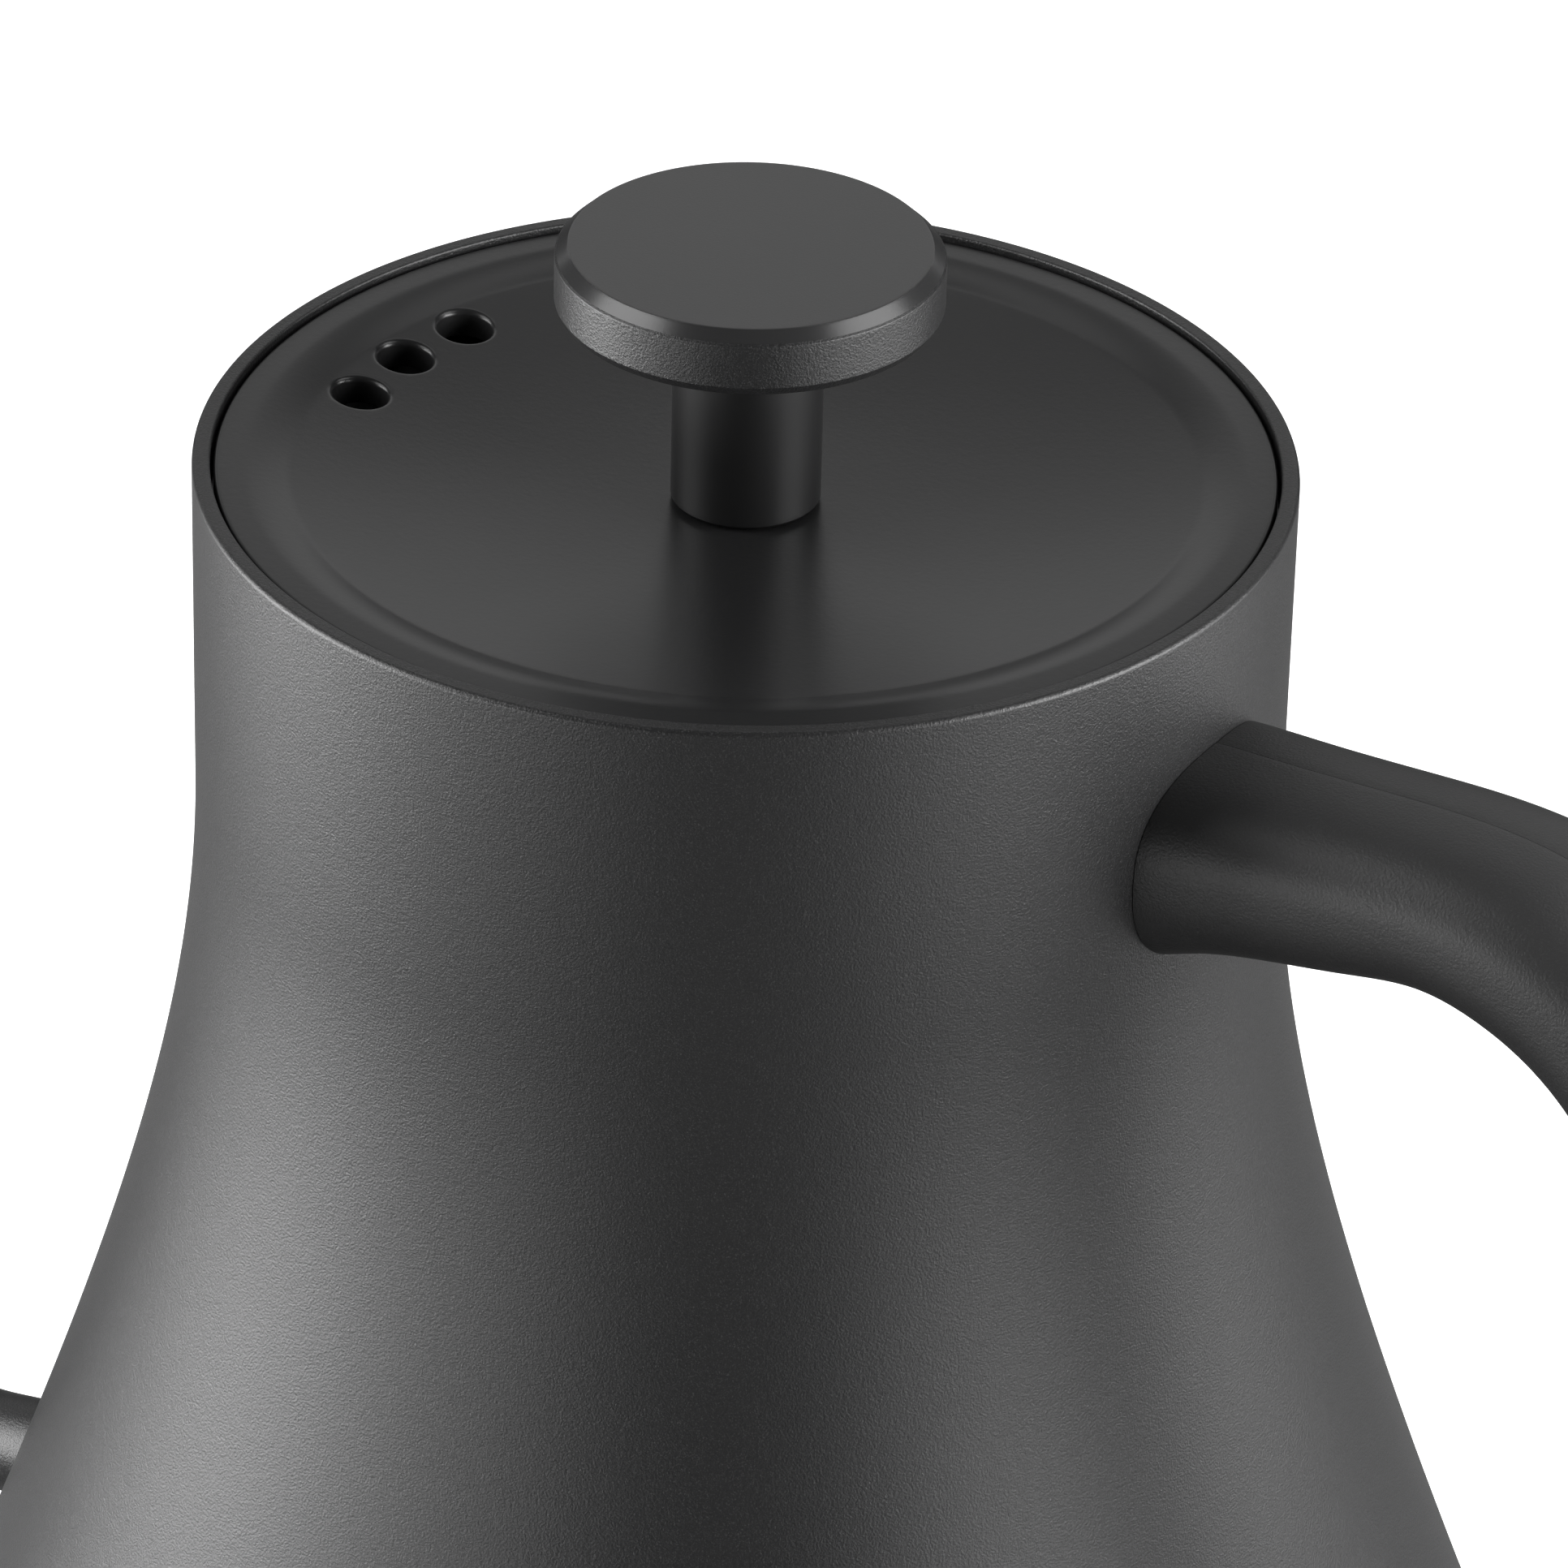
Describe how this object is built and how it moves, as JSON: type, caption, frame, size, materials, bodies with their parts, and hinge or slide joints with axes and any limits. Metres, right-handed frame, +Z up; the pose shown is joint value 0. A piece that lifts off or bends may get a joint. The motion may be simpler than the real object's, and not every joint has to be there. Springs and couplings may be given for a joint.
{
  "type": "electric kettle",
  "caption": "Matte black gooseneck electric kettle with a flared body, vented lift-off lid, knob, side handle and a teardrop power base with dial and display.",
  "frame": {"origin": "on the table plane, at the centre of the overall outline, on the kettle body's axis to within half a millimetre", "axes": "+Z up, +X towards the handle, -X towards the spout, -Y the side with the display"},
  "size_m": [0.2515, 0.1578, 0.193],
  "materials": {
    "powder_coat": "matte black powder coat with a fine sparkle",
    "satin_black": "smooth satin black coating",
    "grip_plastic": "finely textured matte black",
    "black_plastic": "matte black",
    "slip_ring": "smooth low-friction plastic",
    "stainless": "brushed",
    "aluminium": "rolled",
    "zinc": "die-cast, grey",
    "brass": "satin",
    "silicone": "grey silicone",
    "rubber": "matte",
    "circuit_board": "green solder mask",
    "smoked_window": "polished, nearly black"
  },
  "bodies": {
    "base": {"base_cover": "black_plastic", "base_plate": "black_plastic", "base_screw_1": "stainless", "base_screw_2": "stainless", "base_screw_3": "stainless", "base_screw_4": "stainless", "base_foot_1": "rubber", "base_foot_2": "rubber", "base_foot_3": "rubber", "base_foot_4": "rubber", "cord_gland": "rubber", "base_connector": "black_plastic", "earth_contact": "brass", "live_contact": "brass", "neutral_contact": "brass", "control_board": "circuit_board", "relay": "black_plastic", "power_supply": "circuit_board", "encoder_body": "zinc", "display_module": "circuit_board", "display_window": "smoked_window"},
    "collar": {"swivel_collar": "slip_ring"},
    "jug": {"kettle_body": "powder_coat", "spout": "powder_coat", "floor_plate": "stainless", "heat_spreader": "aluminium", "bimetal_disc": "brass", "heating_element": "stainless", "element_terminal_live": "brass", "element_terminal_neutral": "brass", "temperature_probe": "stainless", "jug_connector": "black_plastic", "jug_centre_pin": "brass", "jug_inner_ring": "brass", "jug_outer_ring": "brass", "control_housing": "black_plastic", "bottom_cover": "black_plastic", "cover_screw_1": "stainless", "cover_screw_2": "stainless", "cover_screw_3": "stainless", "bottom_seal": "silicone", "lid_seat": "stainless", "handle_shell_left": "grip_plastic", "handle_shell_right": "grip_plastic", "handle_bracket": "stainless", "handle_screw": "stainless", "handle_core": "zinc", "handle_weight": "zinc"},
    "lid": {"lid_cover": "satin_black", "lid_skirt": "black_plastic", "lid_seal": "silicone", "lid_baffle": "stainless", "lid_spacer": "black_plastic", "knob_screw": "stainless", "knob_stem": "powder_coat", "knob_cap": "powder_coat"},
    "plunger": {"dial_plunger": "zinc"},
    "dial": {"dial_knob": "black_plastic"}
  },
  "joints": [
    {"name": "jug_swivel", "type": "hinge", "parent": "base", "child": "collar", "pos_m": [0, 0, 0.0223], "axis": [0, 0, 1], "continuous": true},
    {"name": "jug_lift", "type": "slide", "parent": "collar", "child": "jug", "axis": [0, 0, 1], "range_m": [0, 0.06]},
    {"name": "lid_lift", "type": "slide", "parent": "jug", "child": "lid", "axis": [0, 0, 1], "range_m": [0, 0.04]},
    {"name": "dial_press", "type": "slide", "parent": "base", "child": "plunger", "axis": [0, 0, -1], "range_m": [0, 0.0009], "stiffness_N_per_m": 1500},
    {"name": "dial_turn", "type": "hinge", "parent": "plunger", "child": "dial", "pos_m": [0.098, 0, 0.027], "axis": [0, 0, 1], "continuous": true}
  ]
}
